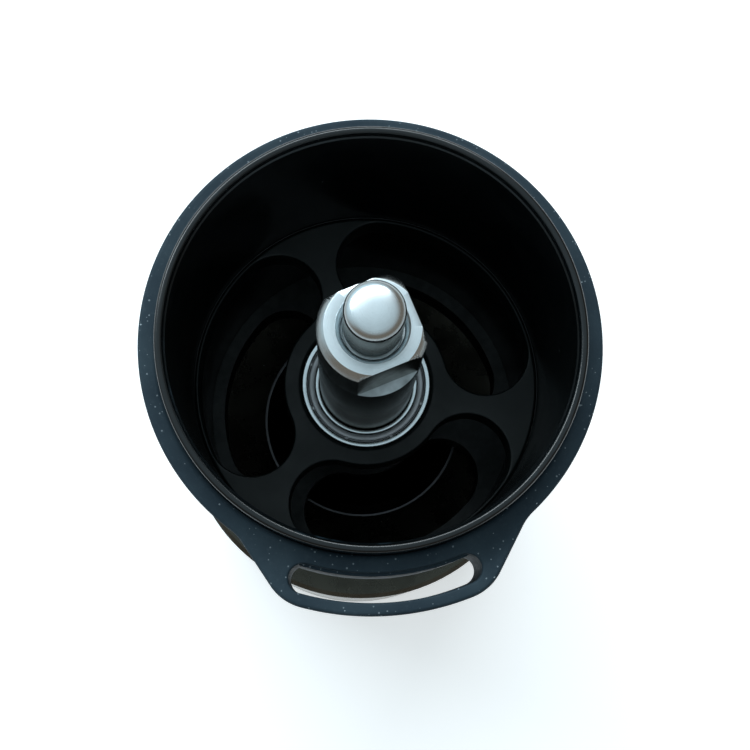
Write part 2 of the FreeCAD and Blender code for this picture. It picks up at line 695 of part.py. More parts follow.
def catch_cup():
    """Cup for the ground coffee, held under the collar by magnets."""
    inner_r = CUP_R - CUP_WALL
    cup = turned([
        (0.0, PAD_TOP_Z),
        (PAD_R + FIT_GAP, PAD_TOP_Z),
        (PAD_R + FIT_GAP, CUP_FOOT_Z),
        (CUP_R - CUP_EDGE, CUP_FOOT_Z),
        (CUP_R, CUP_FOOT_Z + CUP_EDGE),
        (CUP_R, CUP_TOP_Z - CUP_EDGE / 2),
        (CUP_R - CUP_EDGE / 2, CUP_TOP_Z),
        (CUP_MOUTH_R + CUP_EDGE / 2, CUP_TOP_Z),
        (CUP_MOUTH_R, CUP_TOP_Z - CUP_EDGE / 2),
        (CUP_MOUTH_R, CUP_RIM_FOOT_Z),
        (inner_r, CUP_RIM_FOOT_Z - (inner_r - CUP_MOUTH_R)),
        (inner_r, CUP_FLOOR_Z + CUP_FLOOR_CORNER),
        (inner_r - CUP_FLOOR_CORNER, CUP_FLOOR_Z),
        (0.0, CUP_FLOOR_Z),
    ])
    low = CUP_TOP_Z - MAGNET_RECESS - MAGNET_HEIGHT - FIT_GAP
    pocket = peg(MAGNET_R + FIT_GAP, MAGNET_RING_R, low, CUP_TOP_Z + OVERSHOOT)
    for cutter in around(pocket, MAGNETS):
        cup = cup.cut(cutter)
    return cup


def magnets(low):
    """Ring of round magnets that starts at one height."""
    return around(peg(MAGNET_R, MAGNET_RING_R, low, low + MAGNET_HEIGHT), MAGNETS)


def base_pad():
    """Soft disc under the cup that keeps it from slipping."""
    pad = disc(PAD_R, 0.0, PAD_TOP_Z - FIT_GAP)
    return pad.makeChamfer(RING_EDGE, edges_at(pad, 0.0))


# ---- Assembly ---------------------------------------------------------------

def save_bearing(prefix, bearing, top):
    """Write one bearing as rings, shields, balls and cage."""
    outer, inner = bearing_rings(bearing, top)
    save(prefix + "_outer_ring", outer)
    save(prefix + "_inner_ring", inner)
    save(prefix + "_shields", *bearing_shields(bearing, top))
    save(prefix + "_balls", *bearing_balls(bearing, top))
    save(prefix + "_cage", bearing_cage(bearing, top))


def build():
    """Write every node of the grinder body."""
    os.makedirs("parts", exist_ok=True)
    save("body_tube", body_tube())
    save("handle_band", handle_band())
    save("upper_spider", spider(
        SPIDER_TOP_Z, SPIDER_HEIGHT, UPPER_BEARING, UPPER_OPENING_R, UPPER_OPENING_HALF_ANGLE))
    save("lower_spider", spider(
        LOWER_SPIDER_TOP_Z, LOWER_SPIDER_HEIGHT, LOWER_BEARING, LOWER_OPENING_R, LOWER_OPENING_HALF_ANGLE))
    save_bearing("upper_bearing", UPPER_BEARING, SPIDER_TOP_Z)
    save_bearing("lower_bearing", LOWER_BEARING, LOWER_SPIDER_TOP_Z)
    save("drive_sleeve", drive_sleeve())
    save("spindle", spindle())
    save("drive_pin", drive_pin())
    save("shaft_circlip", shaft_circlip())
    save("burr_carrier", burr_carrier())
    save("carrier_magnets", *magnets(COLLAR_FOOT_Z + MAGNET_RECESS))
    save("ring_burr", ring_burr())
    save("burr_clamp_ring", burr_clamp_ring())
    save("clamp_screws", *around(countersunk_screw(0.0, True), SCREWS, OPENING_ANGLE))
    save("burr_spring", burr_spring())
    save("cone_burr", cone_burr())
    save("click_plate", click_plate())
    save("adjust_dial", adjust_dial())
    save("detent_balls", *detent_balls())
    save("detent_springs", *detent_springs())
    save("catch_cup", catch_cup())
    save("cup_magnets", *magnets(CUP_TOP_Z - MAGNET_RECESS - MAGNET_HEIGHT))
    save("base_pad", base_pad())


build()
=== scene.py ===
"""Looks of a hand coffee grinder body, open at the top, built round its fixed CAD frame.

Lengths are metres and angles degrees, unless a name says otherwise. The shaft runs along +Z and
the band's carry loop points to -Y, as in the frame.
"""

import json
import logging
import math
from dataclasses import dataclass, field
from enum import Enum

import bmesh
import bpy
from mathutils import Matrix, Vector

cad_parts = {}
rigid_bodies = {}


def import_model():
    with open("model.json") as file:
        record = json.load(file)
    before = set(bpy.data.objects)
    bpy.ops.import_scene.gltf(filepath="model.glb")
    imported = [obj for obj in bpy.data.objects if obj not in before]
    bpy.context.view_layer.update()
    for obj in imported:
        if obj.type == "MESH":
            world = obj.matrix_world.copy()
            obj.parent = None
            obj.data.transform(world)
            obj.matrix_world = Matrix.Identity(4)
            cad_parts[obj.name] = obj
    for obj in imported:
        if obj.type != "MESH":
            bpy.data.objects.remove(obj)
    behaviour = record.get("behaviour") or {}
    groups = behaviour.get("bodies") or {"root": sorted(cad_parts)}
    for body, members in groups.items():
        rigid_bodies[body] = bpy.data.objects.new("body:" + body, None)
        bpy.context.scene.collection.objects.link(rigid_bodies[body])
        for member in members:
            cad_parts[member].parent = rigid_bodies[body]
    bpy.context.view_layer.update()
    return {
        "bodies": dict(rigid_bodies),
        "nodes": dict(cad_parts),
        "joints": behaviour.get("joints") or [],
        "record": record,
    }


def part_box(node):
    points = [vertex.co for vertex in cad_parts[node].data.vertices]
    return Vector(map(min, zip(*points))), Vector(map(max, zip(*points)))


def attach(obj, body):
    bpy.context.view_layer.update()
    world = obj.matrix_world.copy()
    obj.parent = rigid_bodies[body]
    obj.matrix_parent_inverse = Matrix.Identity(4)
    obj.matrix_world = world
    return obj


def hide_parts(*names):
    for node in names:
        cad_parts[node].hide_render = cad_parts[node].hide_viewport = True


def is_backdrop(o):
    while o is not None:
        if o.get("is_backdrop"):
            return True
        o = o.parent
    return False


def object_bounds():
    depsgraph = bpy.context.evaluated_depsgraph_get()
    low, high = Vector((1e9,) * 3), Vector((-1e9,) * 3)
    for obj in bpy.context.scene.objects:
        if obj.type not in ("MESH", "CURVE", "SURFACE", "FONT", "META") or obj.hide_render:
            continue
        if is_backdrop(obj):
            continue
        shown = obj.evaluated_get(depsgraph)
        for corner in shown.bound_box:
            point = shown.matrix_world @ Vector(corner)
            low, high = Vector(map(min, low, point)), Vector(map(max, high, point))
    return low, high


LOG = logging.getLogger("grinder")
MM = 0.001
FULL_TURN = 2 * math.pi
SEGMENTS = 192
FINE_SEGMENTS = 256
SLACK = 0.02 * MM
CRISP_EDGE = 40.0
EASED_EDGE = 32.0

Piece = bpy.types.Object
Socket = bpy.types.NodeSocket
Colour = tuple[float, float, float, float]


# ---------------------------------------------------------------------------- mesh tools


@dataclass(frozen=True)
class Corner:
    """One corner of a turned profile.

    Args:
        radius: Distance from the shaft axis.
        height: Height above the base.
        rounding: Radius of the arc that eases the corner, 0 for a sharp one.
        steps: Number of chords in that arc.
    """

    radius: float
    height: float
    rounding: float = 0.0
    steps: int = 4


def ease_corner(before: Vector, corner: Vector, after: Vector, rounding: float, steps: int) -> list[Vector]:
    """Replaces a plane corner by an arc that is tangent to both sides.

    Args:
        before: The point before the corner.
        corner: The corner itself.
        after: The point after the corner.
        rounding: Radius of the arc.
        steps: Number of chords in the arc.

    Returns:
        The points of the arc, or the corner alone where it needs none.
    """
    incoming = (before - corner).normalized()
    outgoing = (after - corner).normalized()
    opening = incoming.angle(outgoing)
    if rounding <= 0 or opening > math.pi - 1e-3:
        return [corner]
    reach = rounding / math.tan(opening / 2)
    room = 0.49 * min((before - corner).length, (after - corner).length)
    if reach > room:
        reach = room
        rounding = reach * math.tan(opening / 2)
    bisector = (incoming + outgoing).normalized()
    centre = corner + bisector * (rounding / math.sin(opening / 2))
    first = corner + incoming * reach - centre
    last = corner + outgoing * reach - centre
    sweep = first.angle_signed(last)
    points = []
    for index in range(steps + 1):
        turn = Matrix.Rotation(-sweep * index / steps, 2)
        points.append(centre + turn @ first)
    return points


def eased_outline(corners: list[tuple[Vector, float, int]]) -> list[Vector]:
    """Eases every corner of a closed plane outline.

    Args:
        corners: Position, rounding and chord count of each corner, in order.

    Returns:
        The outline's points.
    """
    outline: list[Vector] = []
    count = len(corners)
    for index, (place, rounding, steps) in enumerate(corners):
        before = corners[index - 1][0]
        after = corners[(index + 1) % count][0]
        outline += ease_corner(before, place, after, rounding, steps)
    return outline


def mesh_piece(name: str, vertices: list[Vector], faces: list[tuple[int, ...]]) -> Piece:
    """Makes a smooth-shaded object from vertices and faces.

    Args:
        name: The piece's name.
        vertices: Its points.
        faces: Indices of each face's points.

    Returns:
        The new object, linked to the scene.
    """
    mesh = bpy.data.meshes.new(name)
    mesh.from_pydata([tuple(v) for v in vertices], [], faces)
    mesh.validate()
    tidy = bmesh.new()
    tidy.from_mesh(mesh)
    bmesh.ops.remove_doubles(tidy, verts=tidy.verts, dist=1e-7)
    bmesh.ops.recalc_face_normals(tidy, faces=tidy.faces)
    tidy.to_mesh(mesh)
    tidy.free()
    mesh.polygons.foreach_set("use_smooth", [True] * len(mesh.polygons))
    mesh.set_sharp_from_angle(angle=math.radians(CRISP_EDGE))
    piece = bpy.data.objects.new(name, mesh)
    bpy.context.scene.collection.objects.link(piece)
    return piece


def lathe(name: str, corners: list[Corner], segments: int = SEGMENTS) -> Piece:
    """Turns a closed profile about the shaft axis.

    Args:
        name: The piece's name.
        corners: The profile's corners, in order.
        segments: Number of steps round the axis.

    Returns:
        The turned piece.
    """
    outline = eased_outline([(Vector((c.radius, c.height)), c.rounding, c.steps) for c in corners])
    vertices: list[Vector] = []
    for step in range(segments):
        angle = FULL_TURN * step / segments
        vertices += [Vector((p.x * math.cos(angle), p.x * math.sin(angle), p.y)) for p in outline]
    rows = len(outline)
    faces = []
    for step in range(segments):
        here = step * rows
        there = (step + 1) % segments * rows
        for row in range(rows):
            nxt = (row + 1) % rows
            faces.append((here + row, there + row, there + nxt, here + nxt))
    return mesh_piece(name, vertices, faces)


@dataclass(frozen=True)
class Loop:
    """One closed outline of a flat slab.

    Args:
        points: Points of the outline, evenly dense, in order.
        top: Rounding of its upper edge.
        foot: Rounding of its lower edge.
        hole: True where the outline bounds an opening.
    """

    points: tuple[Vector, ...]
    top: float
    foot: float
    hole: bool = False


def polar(radius: float, angle: float) -> Vector:
    """Returns the plan point at a radius and an angle in radians."""
    return Vector((radius * math.cos(angle), radius * math.sin(angle)))


def heading(point: Vector) -> float:
    """Returns the angle of a plan point, in degrees."""
    return math.degrees(math.atan2(point.y, point.x))


def circle_points(radius: float, count: int = SEGMENTS) -> tuple[Vector, ...]:
    """Returns evenly spaced points on a circle about the shaft."""
    return tuple(polar(radius, FULL_TURN * index / count) for index in range(count))


def arc_points(centre: Vector, radius: float, start: float, end: float, step: float) -> list[Vector]:
    """Samples an arc.

    Args:
        centre: Centre of the arc.
        radius: Its radius.
        start: Angle of its first point, in degrees.
        end: Angle of its last point, in degrees.
        step: Greatest distance between points.

    Returns:
        The points, both ends included.
    """
    sweep = math.radians(end - start)
    count = max(2, math.ceil(abs(sweep) * radius / step))
    return [centre + polar(radius, math.radians(start) + sweep * index / count) for index in range(count + 1)]


def arc_slot_points(inner: float, outer: float, half_angle: float, middle: float,
                    step: float) -> tuple[Vector, ...]:
    """Outline of a kidney-shaped opening along an arc about the shaft.

    Args:
        inner: Radius of its inner side.
        outer: Radius of its outer side.
        half_angle: Angle from its middle to the centre of a round end.
        middle: Direction of its middle, in degrees.
        step: Greatest distance between points.

    Returns:
        The outline, anticlockwise.
    """
    centre_r = (inner + outer) / 2
    end_r = (outer - inner) / 2
    low = middle - half_angle
    high = middle + half_angle
    here = Vector((0.0, 0.0))
    low_centre = polar(centre_r, math.radians(low))
    high_centre = polar(centre_r, math.radians(high))
    outline = arc_points(here, outer, low, high, step)[:-1]
    outline += arc_points(high_centre, end_r, high, high + 180, step)[:-1]
    outline += arc_points(here, inner, high, low, step)[:-1]
    outline += arc_points(low_centre, end_r, low + 180, low + 360, step)[:-1]
    return tuple(outline)


def inset(points: tuple[Vector, ...], distance: float) -> list[Vector]:
    """Moves an anticlockwise outline inwards, or outwards where the distance is negative."""
    moved = []
    count = len(points)
    for index, point in enumerate(points):
        along = (points[(index + 1) % count] - points[index - 1]).normalized()
        moved.append(point + Vector((-along.y, along.x)) * distance)
    return moved


def slab(name: str, loops: list[Loop], low: float, high: float, steps: int = 5) -> Piece:
    """Makes a flat piece with openings, with every edge rounded as its outline says.

    Args:
        name: The piece's name.
        loops: The outer outline first, then those of the openings, all anticlockwise.
        low: Height of its underside.
        high: Height of its top.
        steps: Number of chords in each rounding.

    Returns:
        The slab.
    """
    vertices: list[Vector] = []
    faces: list[tuple[int, ...]] = []
    caps: dict[float, list[list[int]]] = {low: [], high: []}
    for loop in loops:
        side = -1.0 if loop.hole else 1.0
        turns = [math.pi / 2 * index / steps for index in range(steps + 1)]
        levels = [(low + loop.foot * (1 - math.sin(a)), loop.foot * (1 - math.cos(a))) for a in turns[::-1]]
        levels += [(high - loop.top * (1 - math.sin(a)), loop.top * (1 - math.cos(a))) for a in turns]
        rows = []
        for height, distance in levels:
            start = len(vertices)
            vertices += [Vector((p.x, p.y, height)) for p in inset(loop.points, side * distance)]
            rows.append(list(range(start, len(vertices))))
        count = len(loop.points)
        for lower, upper in zip(rows, rows[1:]):
            for index in range(count):
                after = (index + 1) % count
                faces.append((lower[index], lower[after], upper[after], upper[index]))
        caps[low].append(rows[0])
        caps[high].append(rows[-1])
    for height, rings in caps.items():
        faces += cap_faces(vertices, rings)
    return mesh_piece(name, vertices, faces)


def cap_faces(vertices: list[Vector], rings: list[list[int]]) -> list[tuple[int, ...]]:
    """Fills the flat area between an outer ring and the rings of its openings.

    Args:
        vertices: All the slab's points.
        rings: Vertex numbers of each ring, the outer one first.

    Returns:
        Triangles as vertex numbers.
    """
    flat = bmesh.new()
    originals: dict[bmesh.types.BMVert, int] = {}
    edges = []
    for ring in rings:
        made = [flat.verts.new(vertices[number]) for number in ring]
        originals.update(zip(made, ring))
        edges += [flat.edges.new((made[index - 1], made[index])) for index in range(len(made))]
    filled = bmesh.ops.triangle_fill(flat, use_beauty=True, use_dissolve=False, edges=edges)
    triangles = []
    for face in filled["geom"]:
        if isinstance(face, bmesh.types.BMFace):
            triangles.append(tuple(originals[corner] for corner in face.verts))
    flat.free()
    return triangles


def block(name: str, low: Vector, high: Vector, turn: float = 0.0) -> Piece:
    """Makes a cutting block between two corners, turned about the shaft by an angle in degrees."""
    spans = [(low.x, high.x), (low.y, high.y), (low.z, high.z)]
    vertices = [Vector((x, y, z)) for x in spans[0] for y in spans[1] for z in spans[2]]
    rotation = Matrix.Rotation(math.radians(turn), 3, "Z")
    faces = [(0, 1, 3, 2), (4, 6, 7, 5), (0, 4, 5, 1), (2, 3, 7, 6), (0, 2, 6, 4), (1, 5, 7, 3)]
    return mesh_piece(name, [rotation @ v for v in vertices], faces)


def peg(place: Vector, radius: float, low: float, high: float, steps: int = 32) -> Piece:
    """Makes an upright round peg.

    Args:
        place: Its axis, in plan.
        radius: Its radius.
        low: Height of its foot.
        high: Height of its top.
        steps: Number of steps round it.

    Returns:
        The peg.
    """
    rim = [place + p for p in circle_points(radius, steps)]
    vertices = [Vector((p.x, p.y, z)) for z in (low, high) for p in rim]
    faces = [(i, (i + 1) % steps, (i + 1) % steps + steps, i + steps) for i in range(steps)]
    faces += [tuple(reversed(range(steps))), tuple(range(steps, 2 * steps))]
    return mesh_piece("peg", vertices, faces)


class Carve(Enum):
    """How one solid changes another."""

    CUT = "DIFFERENCE"
    JOIN = "UNION"


def carve(piece: Piece, tools: list[Piece], how: Carve) -> None:
    """Cuts tools out of a piece, or joins them to it, and removes the tools."""
    for tool in tools:
        modifier = piece.modifiers.new("carve", "BOOLEAN")
        modifier.operation = how.value
        modifier.solver = "EXACT"
        modifier.object = tool
        settle(piece)
        bpy.data.objects.remove(tool)


def settle(piece: Piece) -> None:
    """Applies all of a piece's modifiers to its mesh."""
    graph = bpy.context.evaluated_depsgraph_get()
    mesh = bpy.data.meshes.new_from_object(piece.evaluated_get(graph))
    piece.modifiers.clear()
    piece.data = mesh


def ease_edges(piece: Piece, width: float) -> None:
    """Rounds a piece's crisp edges by a width."""
    modifier = piece.modifiers.new("ease", "BEVEL")
    modifier.width = width
    modifier.segments = 2
    modifier.limit_method = "ANGLE"
    modifier.angle_limit = math.radians(EASED_EDGE)
    modifier.harden_normals = True
    settle(piece)


def flatten_shading(piece: Piece, sharp_angle: float) -> None:
    """Keeps flat faces flat-looking beside their rounded edges."""
    piece.data.polygons.foreach_set("use_smooth", [True] * len(piece.data.polygons))
    piece.data.set_sharp_from_angle(angle=math.radians(sharp_angle))
    modifier = piece.modifiers.new("shading", "WEIGHTED_NORMAL")
    modifier.keep_sharp = True
    modifier.weight = 100
    settle(piece)


# ---------------------------------------------------------------------------- finishes


MARK_RUN = 0.2 * MM
LEVEL_FACE = (0.8, 0.99)


class Tree:
    """A node tree, with short calls to add to it."""

    def __init__(self, tree: bpy.types.NodeTree) -> None:
        """Takes the tree to add to."""
        self.tree = tree

    def add(self, kind: str) -> bpy.types.Node:
        """Adds a shader node, by its kind without Blender's prefix."""
        return self.tree.nodes.new("ShaderNode" + kind)

    def join(self, source: Socket, target: Socket) -> None:
        """Links two sockets."""
        self.tree.links.new(source, target)

    def feed(self, target: Socket, value: Socket | float | tuple) -> None:
        """Links a socket to an input, or sets the input's value."""
        if isinstance(value, Socket):
            self.join(value, target)
        else:
            target.default_value = value

    def axes(self, vector: Socket) -> list[Socket]:
        """Splits a vector into X, Y and Z."""
        node = self.add("SeparateXYZ")
        self.join(vector, node.inputs[0])
        return list(node.outputs)

    def math(self, operation: str, *values: Socket | float) -> Socket:
        """Adds a Math node.

        Args:
            operation: Blender's name of the operation.
            values: Its inputs, sockets or numbers.

        Returns:
            The result's socket.
        """
        node = self.add("Math")
        node.operation = operation
        for index, value in enumerate(values):
            self.feed(node.inputs[index], value)
        return node.outputs[0]

    def ramp(self, value: Socket, low: float, high: float, start: float = 0.0, end: float = 1.0) -> Socket:
        """Maps a range of values smoothly to another.

        Args:
            value: What is mapped.
            low: Value that gives start.
            high: Value that gives end.
            start: Lower result.
            end: Upper result.

        Returns:
            The mapped value.
        """
        node = self.add("MapRange")
        node.interpolation_type = "SMOOTHSTEP"
        self.join(value, node.inputs["Value"])
        for name, number in (("From Min", low), ("From Max", high), ("To Min", start), ("To Max", end)):
            node.inputs[name].default_value = number
        return node.outputs["Result"]

    def blend(self, factor: Socket, first: tuple | Socket, second: tuple | Socket) -> Socket:
        """Mixes two colours.

        Args:
            factor: Share of the second.
            first: The first colour.
            second: The second colour.

        Returns:
            The mixed colour.
        """
        node = self.add("Mix")
        node.data_type = "RGBA"
        self.join(factor, node.inputs["Factor"])
        self.feed(node.inputs[6], first)
        self.feed(node.inputs[7], second)
        return node.outputs[2]


class Nodes(Tree):
    """A material's node tree with its surface shader."""

    def __init__(self, name: str) -> None:
        """Starts an empty material of that name."""
        self.material = bpy.data.materials.new(name)
        self.material.use_nodes = True
        super().__init__(self.material.node_tree)
        self.tree.nodes.clear()
        self.shader = self.add("BsdfPrincipled")
        self.join(self.shader.outputs[0], self.add("OutputMaterial").inputs["Surface"])
        self.place = self.add("TexCoord").outputs["Object"]

    def set(self, **values: float | tuple[float, ...]) -> None:
        """Sets the surface shader's own sockets, named with _ for a space."""
        for name, value in values.items():
            self.shader.inputs[name.replace("_", " ")].default_value = value

    def noise(self, scale: float, detail: float = 2.0, place: Socket | None = None,
              roughness: float = 0.5) -> Socket:
        """Adds a Noise node.

        Args:
            scale: Lumps per metre, about.
            detail: Number of finer layers.
            place: Where to read it, the object's own space if none.
            roughness: Strength of the finer layers.

        Returns:
            The noise's value.
        """
        node = self.add("TexNoise")
        node.inputs["Scale"].default_value = scale
        node.inputs["Detail"].default_value = detail
        node.inputs["Roughness"].default_value = roughness
        self.join(place or self.place, node.inputs["Vector"])
        return node.outputs["Fac"]

    def bump(self, *layers: tuple[Socket, float]) -> None:
        """Adds surface relief.

        Args:
            layers: Height sockets, each with its depth in metres.
        """
        normal = None
        for height, depth in layers:
            node = self.add("Bump")
            node.inputs["Strength"].default_value = 1.0
            node.inputs["Distance"].default_value = depth
            self.join(height, node.inputs["Height"])
            if normal is not None:
                self.join(normal, node.inputs["Normal"])
            normal = node.outputs["Normal"]
        self.join(normal, self.shader.inputs["Normal"])

    def turned_place(self) -> Socket:
        """Returns radius, a little of the turn, and height: a place for marks that run round the shaft."""
        x, y, z = self.axes(self.place)
        radius = self.math("SQRT", self.math("ADD", self.math("MULTIPLY", x, x), self.math("MULTIPLY", y, y)))
        turn = self.math("MULTIPLY", self.math("ARCTAN2", y, x), MARK_RUN)
        joined = self.add("CombineXYZ")
        for index, part in enumerate((radius, turn, z)):
            self.join(part, joined.inputs[index])
        return joined.outputs[0]

    def specks(self, spacing: float, size: float, share: float, squeeze: float = 1.0) -> Socket:
        """Adds scattered specks of dust.

        Args:
            spacing: Distance between places where a speck may lie.
            size: Radius of a speck over that distance.
            share: Share of the places that hold one.
            squeeze: Scale along X before placing; below 1 it draws specks out into fibres.

        Returns:
            1 on a speck and 0 elsewhere.
        """
        node = self.add("TexVoronoi")
        node.inputs["Scale"].default_value = 1 / spacing
        mapping = self.add("Mapping")
        mapping.inputs["Rotation"].default_value = (0.0, 0.0, 1.0 / squeeze)
        mapping.inputs["Scale"].default_value = (squeeze, 1.0, 1.0)
        self.join(self.place, mapping.inputs["Vector"])
        self.join(mapping.outputs[0], node.inputs["Vector"])
        split = self.add("SeparateColor")
        self.join(node.outputs["Color"], split.inputs[0])
        chosen = self.math("LESS_THAN", split.outputs[0], share)
        reach = self.math("MULTIPLY", split.outputs[1], size)
        near = self.math("LESS_THAN", node.outputs["Distance"], reach)
        return self.math("MULTIPLY", chosen, near)


@dataclass(frozen=True)
class Rubber:
    """Matte moulded rubber that holds fine dust."""

    name: str
    colour: Colour = (0.023, 0.037, 0.049, 1.0)
    pale: Colour = (0.032, 0.05, 0.063, 1.0)
    dust: Colour = (0.3, 0.35, 0.38, 1.0)
    roughness: float = 0.6
    dust_share: float = 0.4

    def make(self) -> bpy.types.Material:
        """Returns the material."""
        nodes = Nodes(self.name)
        cloud = nodes.ramp(nodes.noise(110.0, 4.0), 0.35, 0.7)
        film_and_painted_shade = nodes.ramp(nodes.noise(1400.0, 5.0, roughness=0.7), 0.52, 0.78)
        body = nodes.blend(cloud, self.colour, self.pale)
        grey = tuple((a + b) / 2 for a, b in zip(self.pale, self.dust))
        filmed_and_painted_shade = nodes.blend(nodes.math("MULTIPLY", film_and_painted_shade, 0.1), body, grey)
        fine = nodes.math("MULTIPLY", nodes.specks(0.55 * MM, 0.26, self.dust_share), 0.5)
        coarse = nodes.specks(1.7 * MM, 0.1, self.dust_share)
        fibres = nodes.math("MULTIPLY", nodes.specks(3.4 * MM, 0.05, self.dust_share, 0.16), 0.6)
        dust = nodes.math("MAXIMUM", nodes.math("MAXIMUM", fine, coarse), fibres)
        nodes.join(nodes.blend(dust, filmed_and_painted_shade, self.dust), nodes.shader.inputs["Base Color"])
        rough = nodes.ramp(nodes.noise(900.0, 3.0), 0.3, 0.7, self.roughness - 0.07, self.roughness + 0.1)
        nodes.join(rough, nodes.shader.inputs["Roughness"])
        nodes.set(Specular_IOR_Level=0.1)
        nodes.bump((nodes.noise(5200.0, 3.0), 0.02 * MM), (nodes.noise(260.0, 2.0), 0.05 * MM))
        return nodes.material


@dataclass(frozen=True)
class Anodised:
    """Dyed anodised aluminium with a fine blasted grain and paler, worn edges."""

    name: str
    colour: Colour
    worn: Colour
    roughness: float
    metallic: float = 0.0
    specular: float = 0.5
    grain: float = 0.006 * MM
    turning: float = 0.0
    dust_share: float = 0.04
    dust: Colour = (0.4, 0.42, 0.42, 1.0)
    cloudiness: float = 1.12

    def make(self) -> bpy.types.Material:
        """Returns the material."""
        nodes = Nodes(self.name)
        cloud = nodes.ramp(nodes.noise(70.0, 3.0), 0.3, 0.75)
        shifted = tuple(self.cloudiness * part for part in self.colour[:3]) + (1.0,)
        body = nodes.blend(cloud, self.colour, shifted)
        edge = nodes.add("NewGeometry").outputs["Pointiness"]
        uneven = nodes.ramp(nodes.noise(420.0, 4.0), 0.35, 0.65)
        rubbed = nodes.math("MULTIPLY", nodes.ramp(edge, 0.53, 0.62), uneven)
        worn = nodes.blend(nodes.math("MULTIPLY", rubbed, 0.5), body, self.worn)
        dusty = nodes.blend(nodes.specks(1.3 * MM, 0.09, self.dust_share), worn, self.dust)
        nodes.join(dusty, nodes.shader.inputs["Base Color"])
        smear = nodes.noise(130.0, 5.0, roughness=0.65)
        rough = nodes.ramp(smear, 0.3, 0.7, self.roughness - 0.05, self.roughness + 0.08)
        nodes.join(rough, nodes.shader.inputs["Roughness"])
        nodes.set(Metallic=self.metallic, Specular_IOR_Level=self.specular)
        layers = [(nodes.noise(6500.0, 2.0), self.grain)]
        if self.turning:
            layers.append((nodes.noise(9000.0, 2.0, nodes.turned_place()), self.turning))
        nodes.bump(*layers)
        return nodes.material


@dataclass(frozen=True)
class Steel:
    """Bare machined steel: marks and faint smears round the shaft, rougher faced ends, and painted shade
    below a height where one is given.
    """

    name: str
    colour: Colour = (0.66, 0.69, 0.71, 1.0)
    dark: Colour = (0.44, 0.46, 0.47, 1.0)
    roughness: float = 0.15
    faced: float = 0.34
    marks: float = 0.0005 * MM
    pitch: float = 0.11 * MM
    grain: float = 0.004 * MM
    # Colour of the painted shade that darkens the steel low on the shaft.
    film_and_painted_shade: Colour = (0.014, 0.015, 0.0145, 1.0)
    shade_below: float = 0.0
    shade_fade: float = 2.0 * MM
    # Painted reflection: a dark, warm tint of reflections at grazing angles keeps the shaft's sides dark.
    grazing_shade_tint: Colour = (1.0, 1.0, 1.0, 1.0)

    def make(self) -> bpy.types.Material:
        """Returns the material."""
        nodes = Nodes(self.name)
        around = nodes.turned_place()
        lines = nodes.noise(1 / self.pitch, 2.0, around, 0.6)
        smear = nodes.ramp(nodes.noise(240.0, 5.0, roughness=0.7), 0.35, 0.75)
        body = nodes.blend(nodes.math("MULTIPLY", smear, 0.3), self.colour, self.dark)
        streaked = nodes.blend(nodes.math("MULTIPLY", nodes.ramp(lines, 0.55, 0.75), 0.3), body, self.dark)
        nodes.join(self.filmed_and_painted_shade(nodes, streaked), nodes.shader.inputs["Base Color"])
        upright = nodes.math("ABSOLUTE", nodes.axes(nodes.add("NewGeometry").outputs["Normal"])[2])
        level = nodes.ramp(upright, *LEVEL_FACE, self.roughness, self.faced)
        rough = nodes.math("ADD", nodes.ramp(lines, 0.3, 0.7, 0.0, 0.06), nodes.math("MULTIPLY", smear, 0.06))
        rough = nodes.math("ADD", rough, level)
        nodes.join(rough, nodes.shader.inputs["Roughness"])
        nodes.set(Metallic=1.0, Specular_Tint=self.grazing_shade_tint)
        grain = nodes.math("MULTIPLY", nodes.noise(7500.0, 2.0), nodes.ramp(upright, *LEVEL_FACE))
        nodes.bump((lines, self.marks), (grain, self.grain))
        return nodes.material

    def filmed_and_painted_shade(self, nodes: Nodes, body: Socket) -> Socket:
        """Darkens the steel below a height with painted shade, which stands in for the shade and dark
        reflections low on the shaft.

        Args:
            nodes: The material.
            body: Its colour so far.

        Returns:
            The colour with the painted shade.
        """
        if not self.shade_below:
            return body
        wavy = nodes.math("MULTIPLY", nodes.noise(300.0, 3.0), self.shade_fade)
        height = nodes.math("ADD", nodes.axes(nodes.place)[2], wavy)
        unshaded = nodes.ramp(height, self.shade_below - self.shade_fade, self.shade_below)
        return nodes.blend(unshaded, self.film_and_painted_shade, body)


@dataclass(frozen=True)
class Backdrop:
    """Pale paper for the floor, with a painted pool of light: it glows most near the middle and turns to a
    darker tone further out.
    """

    name: str
    colour: Colour = (0.9, 0.9, 0.9, 1.0)
    shaded: Colour = (0.88, 0.885, 0.89, 1.0)
    painted_far_shade: Colour = (0.4, 0.39, 0.375, 1.0)

    def make(self) -> bpy.types.Material:
        """Returns the material."""
        nodes = Nodes(self.name)
        tone = nodes.ramp(nodes.noise(9.0, 3.0), 0.3, 0.7)
        paper = nodes.blend(tone, self.colour, self.shaded)
        distance = nodes.add("VectorMath")
        distance.operation = "LENGTH"
        nodes.join(nodes.place, distance.inputs[0])
        # Painted shade: the paper darkens with distance from the middle.
        far = nodes.ramp(distance.outputs["Value"], 0.2, 0.55)
        nodes.join(nodes.blend(far, paper, self.painted_far_shade), nodes.shader.inputs["Base Color"])
        # Painted light: the paper glows, most strongly near the middle, though it is no lamp.
        glow = nodes.ramp(distance.outputs["Value"], 0.1, 0.3, 0.45, 0.12)
        nodes.join(glow, nodes.shader.inputs["Emission Strength"])
        nodes.set(Roughness=0.9, Specular_IOR_Level=0.1, Emission_Color=(1.0, 0.99, 0.98, 1.0))
        nodes.bump((nodes.noise(700.0, 4.0), 0.02 * MM))
        return nodes.material


class Slot(Enum):
    """The finish that each group of nodes takes, by its name in the record."""

    TUBE = "tube_black"
    BAND = "band_rubber"
    WEB = "web_black"
    BEARING = "bearing_steel"
    CAGE = "cage_brass"
    SHAFT = "shaft_steel"
    SPRING = "spring_steel"
    MAGNET = "magnet_nickel"
    BURR = "burr_steel"
    SCREW = "screw_steel"
    DIAL = "dial_metal"
    CUP = "cup_metal"
    PAD = "pad_rubber"


